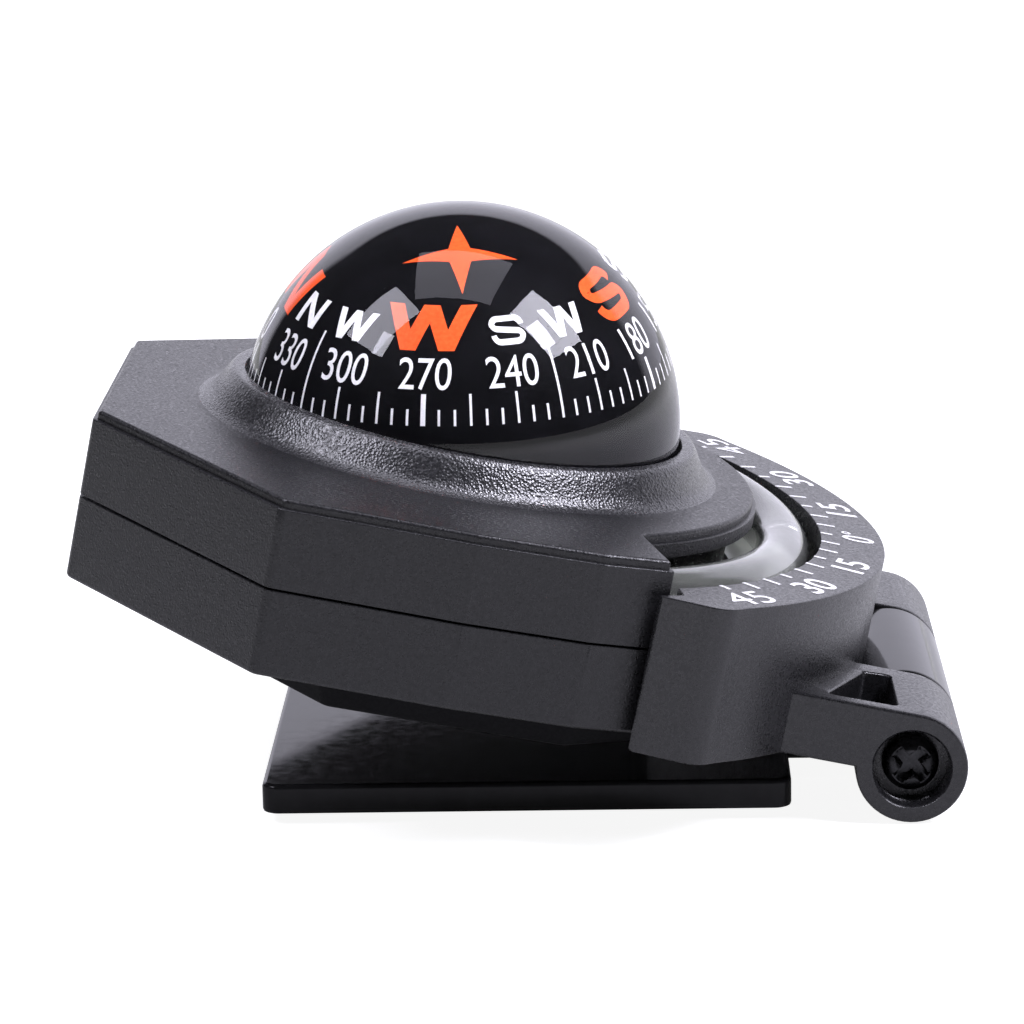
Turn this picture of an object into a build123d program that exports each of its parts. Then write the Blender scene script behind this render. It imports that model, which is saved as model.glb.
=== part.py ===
from build123d import *
import os
from math import cos, radians, sin, sqrt

os.makedirs("parts", exist_ok=True)

# Frame: the origin is the middle of the mounting pad's underside, +Z is up, and +X runs
# from the back of the case towards the hinge. All sizes are millimetres.

# ---- driving dimensions: where the main things are ----
case_tilt = 11.8                       # the case leans this far down towards the hinge
dome_x, dome_z = -5.86, 31.1           # centre of the dome's sphere
hinge_x, hinge_z = 33.6, 5.05          # axis of the hinge, parallel to Y

# ---- hinge hardware ----
screw_r = 1.25
head_r, head_height = 2.5, 1.9
counterbore_r, counterbore_depth = 3.35, 3.0
nut_flats, nut_height = 5.0, 2.0

# ---- mounting base ----
pad_half = 18.0
pad_thickness = 1.0
plate_half_x, plate_half_y = 23.25, 23.5
plate_thickness = 2.65
plate_top = pad_thickness + plate_thickness
neck_half = 11.0
neck_bottom = pad_thickness + 0.8
knuckle_half = 11.2
knuckle_r = 4.9

# ---- case, in its own tilted frame with its origin at the dome's centre ----
top_z = -1.7                           # the flat top of the case
ledge_z = -2.5                         # step that runs round under the top face
ledge_in = 0.4
seam_z = -9.6
seam_gap = 0.25
base_z = -17.15
wall = 1.6
outline_near = [(-31.9, -16.0), (-13.6, -35.6), (3.1, -35.2), (14.0, -33.8), (20.0, -31.7)]
notch = (17.6, -23.9)                  # inner corner between the case's side and its tongue
arc_x = -5.06                          # centre of the tongue, the tube and the scale bracket
tongue_r = 33.0
tray_r = 39.1
tongue_wall_z = -3.9
tongue_recess_r = 31.0

# ---- dome and bowl ----
dome_r = 20.0
dome_wall = 1.1
flange_r = 23.4
dome_flange_z = (-4.9, -3.4)
bowl_flange_z = (-7.8, -6.3)
bowl_r = dome_r + 0.1
bowl_floor_z = -15.2
bowl_floor = 1.2
collar_top_z, collar_top_r, collar_base_r = 1.6, 21.0, 22.9
dome_hole_r = 20.2
lug_angles = (80, 150, 210, 280)
lug_radius = 25.4

cap_z = bowl_floor_z - bowl_floor      # underside of the bowl, where the diaphragm's cap fits

# ---- small screws: where they go, in plan ----
case_screw_spots = [(-27.0, 13.0), (-27.0, -13.0), (12.0, 29.0), (12.0, -29.0)]
cover_screw_spots = [(-19.0, 14.0), (-19.0, -14.0), (7.0, 27.5), (7.0, -27.5)]
bracket_screw_angles = (-40, 0, 40)
bracket_screw_r = 36.6

# ---- bottom cover ----
cover_depth = 2.4
cover_wall = 1.2
cover_draft = 1.0

# ---- scale bracket ----
scale_z = -4.27
bracket_z = -18.2
bracket_in, bracket_out = 39.4, 45.35
flange_in, flange_top = 34.0, -17.25
ear_half, ear_in = 25.5, 11.5
ear_r = 4.9
knuckle_gap = 0.3

# ---- clinometer ----
tube_r, tube_z = 36.05, -6.2
tube_outer, tube_bore = 2.7, 2.25
tube_end = 55
ball_r = 2.05

# ---- compass card and its gimbal, level while the case is tilted ----
card_r, card_wall = 15.6, 0.9
card_low_z = -7.7
magnet_r = (8.0, 11.5)
magnet_z = (-10.5, -7.5)
ring_r = (3.1, 4.3)
ring_half = 1.2
fork_in, fork_out, fork_half = 4.6, 5.8, 2.0
fork_base_z, fork_floor_z, fork_top_z = -3.6, -2.6, 1.5
post_r = 1.8
block_r, block_half = 2.5, 1.4
side_pin_r, front_pin_r, pivot_pin_r = 0.68, 0.58, 0.58
pivot_pin_top = 6.6
hub_z = (5.2, 9.0)
leg_r = (7.3, 8.5)
tray_z = (-7.5, -6.5)
cup_r, cup_height = 1.38, 2.4
run = 0.05                             # running clearance on the radius
snug = 0.02                            # clearance of a fixed fit


def tilt():
    """Place of the case's frame in the whole compass."""
    return Location((dome_x, 0, dome_z), (0, case_tilt, 0))


def level():
    """Place of the card's level frame, at the dome's centre."""
    return Location((dome_x, 0, dome_z))


tilted_angle = radians(case_tilt)
hinge_dx, hinge_dz = hinge_x - dome_x, hinge_z - dome_z
hinge_cx = hinge_dx * cos(tilted_angle) - hinge_dz * sin(tilted_angle)
hinge_cz = hinge_dx * sin(tilted_angle) + hinge_dz * cos(tilted_angle)


def slab(face, z0, z1):
    """A plan face made solid between two heights."""
    return Pos(0, 0, z0) * extrude(face, z1 - z0)


def tube(inner, outer, z0, z1):
    return slab(Circle(outer) - Circle(inner), z0, z1)


def rod(radius, z0, z1):
    return slab(Circle(radius), z0, z1)


def cross_rod(radius, y0, y1):
    """A rod along Y."""
    return Pos(0, y1, 0) * Rot(90, 0, 0) * rod(radius, 0, y1 - y0)


def long_rod(radius, x0, x1):
    """A rod along X."""
    return Pos(x0, 0, 0) * Rot(0, 90, 0) * rod(radius, 0, x1 - x0)


def block(x0, x1, y0, y1, z0, z1):
    centre = Pos((x0 + x1) / 2, (y0 + y1) / 2, (z0 + z1) / 2)
    return centre * Box(x1 - x0, y1 - y0, z1 - z0)


def both_sides(shape):
    """A shape and its mirror image across the XZ plane."""
    return shape + mirror(shape, Plane.XZ)


def arc_point(radius, y):
    """Point on a circle about the arc centre, at a given y on its front side."""
    return (arc_x + sqrt(radius ** 2 - y ** 2), y)


def shifted_side(start, end, inset):
    """A straight side moved inwards; the inside is on the left, going from start to end."""
    dx, dy = end[0] - start[0], end[1] - start[1]
    length = sqrt(dx ** 2 + dy ** 2)
    move = (-dy * inset / length, dx * inset / length)
    return (start[0] + move[0], start[1] + move[1]), (dx / length, dy / length)


def crossing(first, second):
    """Where two sides, each a point and a direction, cross."""
    (ax, ay), (ux, uy) = first
    (bx, by), (vx, vy) = second
    along = ((bx - ax) * vy - (by - ay) * vx) / (ux * vy - uy * vx)
    return (ax + along * ux, ay + along * uy)


def meets_arc(side, radius):
    """The first point where a side reaches the circle about the arc centre."""
    (x, y), (ux, uy) = side
    x = x - arc_x
    half = x * ux + y * uy
    along = -half - sqrt(half ** 2 - (x ** 2 + y ** 2 - radius ** 2))
    return (arc_x + x + along * ux, y + along * uy)


def closed_plan(near_points, nose_r, inset):
    """Plan with straight sides, mirrored across X, closed in front by an arc."""
    corners = [(near_points[0][0], 0)] + near_points
    sides = [shifted_side(a, b, inset) for a, b in zip(corners, corners[1:])]
    near = [crossing(a, b) for a, b in zip(sides, sides[1:])]
    near.append(meets_arc(sides[-1], nose_r - inset))
    far = [(x, -y) for x, y in reversed(near)]
    nose = ThreePointArc(near[-1], (arc_x + nose_r - inset, 0), far[0])
    return make_face([*Polyline(*(far + near)).edges(), nose])


def case_plan(inset=0.0):
    """Outline of the upper shell, with the tongue in front."""
    return closed_plan(outline_near + [notch], tongue_r, inset)


def tray_plan(inset=0.0):
    """Outline of the lower shell, whose front reaches under the clinometer tube."""
    return closed_plan(outline_near + [notch], tray_r, inset)


def cover_plan(inset=0.0):
    """Outline of the bottom cover: an octagon clipped at the back."""
    near = [(-26.6, -13.0), (-7.4, -33.6), (14.0, -32.0), (20.5, -26.0)]
    corners = [(near[0][0], 0)] + near + [(near[-1][0], 0)]
    sides = [shifted_side(a, b, inset) for a, b in zip(corners, corners[1:])]
    near = [crossing(a, b) for a, b in zip(sides, sides[1:])]
    far = [(x, -y) for x, y in reversed(near)]
    return make_face(Polyline(*(near + far), close=True).edges())


def sphere_band(outer, inner, z0, z1):
    """Part of a spherical shell between two heights."""
    shell = Sphere(outer) - Sphere(inner)
    return shell & block(-30, 30, -30, 30, z0, z1)


def at_polar(radius, angle):
    return Pos(radius * cos(radians(angle)), radius * sin(radians(angle)), 0)


def save(node, shape, place):
    shape = place * shape
    solids = shape.solids()
    moved = solids[0] if len(solids) == 1 else Compound(solids)
    moved.label = node
    export_step(moved, f"parts/{node}.step")


# ------------------------------------------------------------------ base

def make_pad():
    return slab(RectangleRounded(2 * pad_half, 2 * pad_half, 2.0), 0, pad_thickness)


def make_base():
    plate = slab(RectangleRounded(2 * plate_half_x, 2 * plate_half_y, 1.0), pad_thickness, plate_top)
    plate = chamfer(plate.faces().sort_by(Axis.Z)[-1].edges(), 0.25)
    neck = block(plate_half_x - 3, hinge_x, -neck_half, neck_half, neck_bottom, plate_top)
    knuckle = Pos(hinge_x, 0, hinge_z) * cross_rod(knuckle_r, -knuckle_half, knuckle_half)
    base = plate + neck + knuckle
    return base - Pos(hinge_x, 0, hinge_z) * cross_rod(screw_r + 0.07, -12, 12)


# ------------------------------------------------------------------ hinge hardware

def make_hinge_screw():
    shank_end = ear_half - 0.2
    head_y = counterbore_depth - ear_half
    head = cross_rod(head_r, head_y - head_height, head_y)
    head = fillet(head.edges().group_by(Axis.Y)[0], 0.7)
    shank = cross_rod(screw_r, head_y - 0.5, shank_end)
    arm = 0.85
    recess = block(-1.6, 1.6, head_y - head_height - 1, head_y - head_height + 1.1, -arm / 2, arm / 2)
    recess = recess + Rot(0, 90, 0) * recess
    return head + shank - Rot(0, 45, 0) * recess


def make_hinge_nut():
    hexagon = RegularPolygon(nut_flats / 2, 6, major_radius=False)
    nut = slab(hexagon - Circle(screw_r + 0.02), 0, nut_height)
    return Pos(0, ear_half - 0.4, 0) * Rot(90, 0, 0) * nut


# ------------------------------------------------------------------ case shells


def tube_sweep(radius):
    """The clinometer tube's path as a solid of the given section radius."""
    section = Plane.XZ * Pos(tube_r, tube_z) * Circle(radius)
    whole = revolve(section, Axis.Z, 2 * tube_end)
    return Pos(arc_x, 0, 0) * Rot(0, 0, -tube_end) * whole


def make_top_shell():
    body = slab(case_plan(), seam_z + seam_gap, ledge_z)
    body = body + slab(case_plan(ledge_in), ledge_z, top_z)
    inside = slab(case_plan(wall + 0.4), seam_z, top_z - wall)
    shell = body - inside
    # The tongue's wall steps back under its rim.
    front = block(16.0, 40, -26, 26, seam_z - 1, tongue_wall_z)
    front = front - Pos(arc_x, 0, 0) * rod(tongue_recess_r, seam_z - 2, 0)
    shell = shell - front
    skirt = Pos(arc_x, 0, 0) * tube(tongue_recess_r - 1.6, tongue_recess_r, seam_z + seam_gap, top_z - 1)
    skirt = skirt & slab(case_plan(0.4), seam_z, top_z - 0.8)
    skirt = skirt & block(15.0, 40, -29, 29, seam_z, 0)
    shell = shell + skirt
    collar = Cone(collar_base_r, collar_top_r, collar_top_z - top_z)
    collar = Pos(0, 0, (collar_top_z + top_z) / 2) * collar
    shell = shell + collar - rod(dome_hole_r, seam_z - 1, 5)
    for x, y in case_screw_spots:
        shell = shell + Pos(x, y, 0) * rod(2.6, seam_z + seam_gap, top_z - wall + 0.1)
        shell = shell - Pos(x, y, 0) * rod(1.0, seam_z, -4.2)
    for angle in lug_angles:
        shell = shell + at_polar(lug_radius, angle) * rod(1.8, bowl_flange_z[1], top_z - wall + 0.1)
        shell = shell - at_polar(lug_radius, angle) * rod(0.85, bowl_flange_z[1] - 1, -2.9)
    return shell - tube_sweep(tube_outer + 0.15) - tube_slots()


def tube_slots():
    """Slots below the tube, so that the upper shell drops over it."""
    section = Plane.XZ * Pos(tube_r, (tube_z + seam_z) / 2 - 1) * Rectangle(
        2 * tube_outer + 0.3, tube_z - seam_z + 2)
    whole = revolve(section, Axis.Z, 2 * tube_end)
    return Pos(arc_x, 0, 0) * Rot(0, 0, -tube_end) * whole


def make_lower_shell():
    shell = slab(tray_plan(), base_z, seam_z)
    shell = shell - slab(tray_plan(wall), base_z + wall, seam_z + 1)
    shell = chamfer(shell.faces().sort_by(Axis.Z)[0].outer_wire().edges(), 0.4)
    lip = slab(case_plan(wall + 0.5) - case_plan(wall + 1.3), seam_z - 1, seam_z + 1.2)
    lip = lip & block(-40, 15.5, -40, 40, -20, 0)
    for x, y in case_screw_spots:
        lip = lip - Pos(x, y, 0) * rod(2.8, seam_z, 0)
    deck = Pos(arc_x, 0, 0) * tube(tongue_recess_r - 3.0, tray_r - 0.5, seam_z - 1.2, seam_z)
    deck = deck & slab(tray_plan(0.8), seam_z - 2, seam_z + 1) & block(9.0, 40, -40, 40, -20, 0)
    shell = shell + lip + deck
    for x, y in case_screw_spots:
        shell = shell + Pos(x, y, 0) * rod(2.6, base_z + wall - 0.1, seam_z)
    for x, y in cover_screw_spots:
        shell = shell + Pos(x, y, 0) * rod(2.3, base_z + wall - 0.1, -12.0)
    for angle in bracket_screw_angles:
        spot = Pos(arc_x, 0, 0) * at_polar(bracket_screw_r, angle)
        shell = shell + spot * rod(2.3, base_z + wall - 0.1, seam_z - 0.6)
    for x, y in case_screw_spots:
        shell = shell - Pos(x, y, 0) * rod(1.1, base_z - 1, seam_z + 1.5)
        shell = shell - Pos(x, y, 0) * rod(2.1, base_z - 1, base_z + 2.0)
    for x, y in cover_screw_spots:
        shell = shell - Pos(x, y, 0) * rod(1.0, base_z - 1, -12.6)
    for angle in bracket_screw_angles:
        spot = Pos(arc_x, 0, 0) * at_polar(bracket_screw_r, angle)
        shell = shell - spot * rod(1.0, base_z - 1, -12.6)
    return shell - rod(15.0, base_z - 1, base_z + wall + 1)


def make_bottom_cover():
    low = base_z - cover_depth
    outer = loft([Pos(0, 0, base_z - 0.05) * cover_plan(), Pos(0, 0, low) * cover_plan(cover_draft)])
    inner = loft([Pos(0, 0, base_z + 0.1) * cover_plan(cover_wall - 0.1),
                  Pos(0, 0, low + cover_wall) * cover_plan(cover_wall + 0.9)])
    cover = outer - inner
    cover = chamfer(cover.faces().sort_by(Axis.Z)[0].edges(), 0.25)
    for x, y in cover_screw_spots:
        cover = cover + Pos(x, y, 0) * rod(2.6, low + 0.5, base_z - 0.05)
    for x, y in cover_screw_spots:
        cover = cover - Pos(x, y, 0) * rod(1.1, low - 1, base_z + 1)
        cover = cover - Pos(x, y, 0) * rod(2.1, low - 1, low + 1.2)
    return cover


def pan_screw(radius, z_head, length, head=1.9, height=1.1):
    """A small pan-head screw pointing up, with a cross recess under its head."""
    screw = rod(head, z_head, z_head + height) + rod(radius, z_head + height, z_head + length)
    slot = block(-1.1, 1.1, -0.25, 0.25, z_head - 1, z_head + 0.6)
    return screw - slot - Rot(0, 0, 90) * slot


def make_case_screws():
    return [Pos(x, y, 0) * pan_screw(0.95, base_z + 0.9, 11.5) for x, y in case_screw_spots]


def make_cover_screws():
    low = base_z - cover_depth
    return [Pos(x, y, 0) * pan_screw(0.95, low + 0.1, 6.5) for x, y in cover_screw_spots]


def make_bracket_screws():
    spots = [Pos(arc_x, 0, 0) * at_polar(bracket_screw_r, a) for a in bracket_screw_angles]
    return [spot * pan_screw(0.95, bracket_z - 0.35, 5.6, 1.6, 0.35 + 0.35) for spot in spots]


# ------------------------------------------------------------------ scale bracket

def bracket_wall_plan():
    """Crescent plan: an arc band whose ends taper to points along the case's sides."""
    outer_corner, tip, inner_corner = (24.9, -34.5), (18.9, -33.5), (21.0, -32.0)
    near_outer = arc_point(bracket_out, -33.9)
    near_inner = arc_point(bracket_in, -29.9)
    near = [near_outer, outer_corner, tip, inner_corner, near_inner]
    far = [(x, -y) for x, y in reversed(near)]
    outer_arc = ThreePointArc(near[0], (arc_x + bracket_out, 0), far[-1])
    inner_arc = ThreePointArc(near[-1], (arc_x + bracket_in, 0), far[0])
    edges = [*Polyline(*near).edges(), *Polyline(*far).edges(), outer_arc, inner_arc]
    return make_face(edges)


def bracket_arm():
    """One arm and its hinge ear, on the near side."""
    arm_top = hinge_cz + ear_r
    arm = block(30, hinge_cx, -ear_half, -ear_in, bracket_z, arm_top)
    arm = arm - Pos(arc_x, 0, 0) * rod(bracket_in + 3, bracket_z - 1, 0)
    ear = Pos(hinge_cx, 0, hinge_cz) * cross_rod(ear_r, -ear_half, -ear_in)
    pocket = make_face(Polyline((35.5, -23.9), (39.3, -14.3), (41.7, -13.9), (41.7, -23.7), close=True).edges())
    over_head = block(40.5, 42.5, -24.5, -22.1, arm_top - 3.5, arm_top - 1.8)   # keeps a wall over the screw head
    return arm + ear - (slab(pocket, arm_top - 3.2, arm_top + 1) - over_head)


def make_scale_bracket():
    wall_ring = slab(bracket_wall_plan(), bracket_z, scale_z)
    flange = Pos(arc_x, 0, 0) * tube(flange_in, bracket_in + 1, bracket_z, flange_top)
    flange = flange & slab(tray_plan(1.2), bracket_z - 1, 0) & block(22.0, 50, -40, 40, -30, 0)
    flange = flange + (Pos(arc_x, 0, 0) * tube(bracket_in - 1.5, bracket_in + 1, bracket_z, flange_top)
                       & block(24.0, 50, -30, 30, -30, 0))
    bracket = wall_ring + flange + both_sides(bracket_arm())
    hinge = Pos(hinge_cx, 0, hinge_cz)
    relief = hinge * cross_rod(knuckle_r + knuckle_gap, -ear_in, ear_in)
    bracket = bracket - relief - hinge * cross_rod(screw_r + 0.05, -30, 30)
    bracket = bracket - hinge * cross_rod(counterbore_r, -ear_half - 1, counterbore_depth - ear_half)
    socket = slab(RegularPolygon(nut_flats / 2 + 0.1, 6, major_radius=False), 0, 4)
    bracket = bracket - hinge * Pos(0, ear_half + 1.5, 0) * Rot(90, 0, 0) * socket
    for angle in bracket_screw_angles:
        spot = Pos(arc_x, 0, 0) * at_polar(bracket_screw_r, angle)
        bracket = bracket - spot * rod(1.1, bracket_z - 1, 0)
        bracket = bracket - spot * rod(1.7, bracket_z - 1, bracket_z + 0.4)
    return bracket


# ------------------------------------------------------------------ dome and bowl

def make_dome():
    shell = sphere_band(dome_r, dome_r - dome_wall, dome_flange_z[0], dome_r + 1)
    flange = tube(dome_r - dome_wall, flange_r, *dome_flange_z)
    return shell + flange


def make_bowl():
    shell = sphere_band(bowl_r, dome_r - dome_wall, bowl_floor_z - bowl_floor, bowl_flange_z[1])
    flange = tube(dome_r - dome_wall, flange_r, *bowl_flange_z)
    floor = rod(14, bowl_floor_z - bowl_floor, bowl_floor_z) & Sphere(bowl_r)
    bowl = shell + flange + floor + rod(3.2, bowl_floor_z - 0.1, bowl_floor_z + 1.2)
    for angle in lug_angles:
        lug = at_polar(lug_radius, angle) * rod(2.0, *bowl_flange_z)
        web = Rot(0, 0, angle) * block(flange_r - 1, lug_radius, -2.0, 2.0, *bowl_flange_z)
        bowl = bowl + lug + web - at_polar(lug_radius, angle) * rod(1.05, -9, -5)
    bowl = bowl - rod(post_r, bowl_floor_z - 0.4, bowl_floor_z + 3)
    for k in range(6):
        bowl = bowl - at_polar(6.5, 60 * k) * rod(0.9, -18, bowl_floor_z + 1)
    bowl = bowl + plug_axis() * rod(2.6, 19.2, 20.9)
    return bowl - plug_axis() * rod(1.25, 15, 23)


def plug_axis():
    """Axis of the filler hole: out through the bowl's back, below its flange."""
    return Rot(0, -120, 0)


def make_fill_plug():
    plug = rod(1.2, 19.0, 21.2) + rod(2.0, 21.2, 22.4)
    return plug_axis() * (plug - block(-2.5, 2.5, -0.3, 0.3, 21.9, 23))


def make_plug_seal():
    return plug_axis() * tube(1.25, 2.2, 20.9, 21.2)


def make_dome_gasket():
    return tube(19.8, flange_r - 0.5, bowl_flange_z[1], dome_flange_z[0])


def make_bowl_screws():
    head_z = bowl_flange_z[0] - 1.1
    return [at_polar(lug_radius, a) * pan_screw(0.8, head_z, 5.6, 1.7, 1.1) for a in lug_angles]


def make_diaphragm():
    disc = rod(10.2, cap_z - 0.6, cap_z)
    return disc - tube(8.0, 8.8, cap_z - 0.25, cap_z + 1)


def make_diaphragm_cap():
    cap = rod(11.4, cap_z - 1.8, cap_z) - rod(10.3, cap_z - 0.65, cap_z + 1)
    return cap - rod(8.6, cap_z - 1.2, cap_z) - rod(0.8, cap_z - 3, cap_z)


# ------------------------------------------------------------------ clinometer

def make_clinometer_tube():
    return tube_sweep(tube_outer) - tube_sweep(tube_bore)


def make_tube_plugs():
    plug = tube_sweep(tube_bore - 0.02)
    middle = Pos(arc_x, 0, 0) * (block(0, 50, -50, 50, -20, 5) & wedge(tube_end - 3))
    return plug - middle


def wedge(half_angle):
    """A pie slice about +X, to either side by the given angle."""
    reach = 60
    tip = (reach * cos(radians(half_angle)), reach * sin(radians(half_angle)))
    pie = Polyline((0, 0), (tip[0], -tip[1]), (reach * 2, -reach), (reach * 2, reach), tip, close=True)
    return slab(make_face(pie.edges()), -30, 10)


def make_tube_tray():
    """Pale strip that the tube lies on."""
    strip = tube(tongue_recess_r + 1.0, tray_r - 0.8, seam_z, seam_z + 0.6)
    strip = Pos(arc_x, 0, 0) * (strip & wedge(44))
    groove = tube_sweep(tube_outer + 0.02)
    return strip - groove


def make_clinometer_ball():
    return Pos(arc_x + tube_r, 0, tube_z) * Sphere(ball_r)


# ------------------------------------------------------------------ gimbal and card

def make_pivot_post():
    """Fork that carries the gimbal, pressed into the bowl's floor."""
    post = rod(post_r, bowl_floor_z - 0.4, fork_base_z)
    foot = block(-fork_half, fork_half, -fork_out, fork_out, fork_base_z, fork_floor_z)
    arm = block(-fork_half, fork_half, fork_in, fork_out, fork_floor_z - 0.1, fork_top_z)
    fork = post + foot + both_sides(arm)
    return fork - cross_rod(side_pin_r + run, -fork_out - 1, fork_out + 1)


def make_gimbal_ring():
    ring = tube(ring_r[0], ring_r[1], -ring_half, ring_half)
    side_holes = cross_rod(side_pin_r + snug, -ring_r[1] - 1, ring_r[1] + 1)
    front_holes = long_rod(front_pin_r + snug, -ring_r[1] - 1, ring_r[1] + 1)
    return ring - side_holes - front_holes


def make_gimbal_pins():
    side = cross_rod(side_pin_r, ring_r[0] + 0.1, fork_out)
    front = long_rod(front_pin_r, 1.6, ring_r[1] - 0.1)
    return [side, Rot(0, 0, 180) * side, front, Rot(0, 0, 180) * front]


def make_pivot_block():
    body = rod(block_r, -block_half, block_half)
    return body - long_rod(front_pin_r + run, -4, 4) - rod(pivot_pin_r + snug, -0.2, block_half + 1)


def make_pivot_pin():
    """Upright pin with a pointed end, which the card's jewel cup sits on."""
    point_height = 0.6
    pin = rod(pivot_pin_r, 0.7, pivot_pin_top)
    point = Pos(0, 0, pivot_pin_top + point_height / 2) * Cone(pivot_pin_r, 0.12, point_height)
    return pin + point


def make_card_spider():
    hub = rod(2.4, *hub_z)
    web_top = hub_z[0] + 1.4
    half_width = 0.9
    web = block(0, leg_r[1], -half_width, half_width, hub_z[0], web_top)
    leg = block(leg_r[0], leg_r[1], -half_width, half_width, tray_z[0], web_top)
    spider = hub
    for k in range(4):
        spider = spider + Rot(0, 0, 90 * k) * (web + leg)
    inside_card = Sphere(card_r - card_wall - 0.04)
    spider = spider + (tube(leg_r[0], card_r, *tray_z) & inside_card)
    return spider - rod(cup_r + snug, hub_z[0] - 1, hub_z[0] + cup_height)


def make_jewel_cup():
    cup = rod(cup_r, hub_z[0], hub_z[0] + cup_height)
    bore = rod(pivot_pin_r + run, hub_z[0] - 1, pivot_pin_top + 0.1)
    seat = Pos(0, 0, pivot_pin_top + 0.4) * Cone(pivot_pin_r + run, 0.2, 0.6)
    return cup - bore - seat


def make_card_dome():
    return sphere_band(card_r, card_r - card_wall, card_low_z, card_r + 1)


def make_ring_magnet():
    return tube(magnet_r[0], magnet_r[1], *magnet_z)


def hinge_place():
    return Location((hinge_x, 0, hinge_z), (0, case_tilt, 0))


def as_group(shapes):
    return Compound(list(shapes)) if isinstance(shapes, list) else shapes


home = Location()
pieces = {
    "mounting_pad": (make_pad, home),
    "base_plate": (make_base, home),
    "hinge_screw": (make_hinge_screw, hinge_place()),
    "hinge_nut": (make_hinge_nut, hinge_place()),
    "scale_bracket": (make_scale_bracket, tilt()),
    "bracket_screws": (make_bracket_screws, tilt()),
    "top_shell": (make_top_shell, tilt()),
    "lower_shell": (make_lower_shell, tilt()),
    "bottom_cover": (make_bottom_cover, tilt()),
    "case_screws": (make_case_screws, tilt()),
    "cover_screws": (make_cover_screws, tilt()),
    "dome": (make_dome, tilt()),
    "bowl": (make_bowl, tilt()),
    "dome_gasket": (make_dome_gasket, tilt()),
    "bowl_screws": (make_bowl_screws, tilt()),
    "fill_plug": (make_fill_plug, tilt()),
    "plug_seal": (make_plug_seal, tilt()),
    "diaphragm": (make_diaphragm, tilt()),
    "diaphragm_cap": (make_diaphragm_cap, tilt()),
    "clinometer_tube": (make_clinometer_tube, tilt()),
    "tube_plugs": (make_tube_plugs, tilt()),
    "tube_tray": (make_tube_tray, tilt()),
    "clinometer_ball": (make_clinometer_ball, tilt()),
    "pivot_post": (make_pivot_post, tilt()),
    "gimbal_ring": (make_gimbal_ring, level()),
    "gimbal_pins": (make_gimbal_pins, level()),
    "pivot_block": (make_pivot_block, level()),
    "pivot_pin": (make_pivot_pin, level()),
    "card_dome": (make_card_dome, level()),
    "card_spider": (make_card_spider, level()),
    "jewel_cup": (make_jewel_cup, level()),
    "ring_magnet": (make_ring_magnet, level()),
}

for node, (maker, place) in pieces.items():
    save(node, as_group(maker()), place)
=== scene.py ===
import bpy
import bmesh
from math import asin, atan2, cos, hypot, pi, radians, sin, sqrt, tan
from mathutils import Matrix, Vector


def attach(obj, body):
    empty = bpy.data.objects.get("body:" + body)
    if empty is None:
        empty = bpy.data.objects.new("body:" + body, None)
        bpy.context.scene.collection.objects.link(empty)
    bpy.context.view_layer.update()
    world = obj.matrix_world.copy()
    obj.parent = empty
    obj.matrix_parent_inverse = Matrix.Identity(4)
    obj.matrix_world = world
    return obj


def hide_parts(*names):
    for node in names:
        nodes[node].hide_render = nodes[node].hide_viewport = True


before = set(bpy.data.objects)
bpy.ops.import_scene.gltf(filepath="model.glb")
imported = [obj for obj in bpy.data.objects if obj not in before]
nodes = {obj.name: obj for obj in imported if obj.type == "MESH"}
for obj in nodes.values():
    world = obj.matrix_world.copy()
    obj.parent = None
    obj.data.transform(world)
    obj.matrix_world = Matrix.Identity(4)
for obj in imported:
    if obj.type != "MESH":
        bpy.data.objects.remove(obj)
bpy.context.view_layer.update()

MM = 0.001

# Sizes in millimetres and angles in degrees, mostly as in the CAD model.
case_tilt = 11.8
dome_x, dome_z = -5.86, 31.1
hinge_x, hinge_z = 33.6, 5.05
arc_x = -5.06
top_z, ledge_z, ledge_in = -1.7, -2.5, 0.4
seam_z = -9.6
seam_top = seam_z + 0.25 * 0.7         # the seam is drawn thinner than the CAD's 0.25
base_z, wall = -17.15, 1.6
outline_near = [(-31.9, -16.0), (-13.6, -35.6), (3.1, -35.2), (14.0, -33.8), (20.0, -31.7)]
notch = (17.6, -23.9)
corner_radii = (1.0, 1.2, 1.2, 1.2, 0.35)
least_radius, arc_steps = 0.08, 72
tongue_r, tray_r, tongue_recess_r = 33.0, 39.1, 31.0
tongue_wall_z = -3.9
collar_top_z, collar_grain_r = 1.6, 24.1
dome_hole_r, dome_r, dome_flange_z = 20.2, 20.0, -4.9
seam_edge = 0.11                       # bevel of the shells' edges at the seam
cover_near = [(-26.6, -13.0), (-7.4, -33.6), (14.0, -32.0), (20.5, -26.0)]
cover_depth = 2.4
cover_screws = [(-19.0, 14.0), (-19.0, -14.0), (7.0, 27.5), (7.0, -27.5)]
bowl_hole_r = 15.0
deck_in, deck_out, deck_half_angle = 28.0, 37.4, 48
scale_z, bracket_z = -4.27, -18.2
bracket_in, bracket_out = 39.4, 45.35
flange_in, flange_out, flange_half_angle = 34.2, 39.9, 42
arm_start_r = 42.0
ear_half, ear_in, ear_r = 25.5, 11.5, 4.899
relief_r = ear_r + 0.3                 # room for the base's knuckle in the crescent
counterbore_r, counterbore_depth = 3.35, 3.0
screw_hole_r = 1.3
nut_r, nut_depth = (5.0 / 2 + 0.1) / cos(pi / 6), 2.5
plate_x, plate_y, plate_low, plate_top = 23.25, 23.5, 1.0, 3.65
neck_half, knuckle_half, knuckle_bore_r = 11.0, 11.2, 1.35
tube_r, tube_z, tube_outer, tube_end = 36.05, -6.2, 2.7, 52
tube_seen_r, dome_seen_r = 2.5, 19.995
hollow_depth = 0.02                    # how far under the card's surface the liquid ends
card_r, card_wall, card_low_z = 15.6, 0.9, -7.7
west_angle = -99.69                    # where the card's west mark points, seen from above
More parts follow.
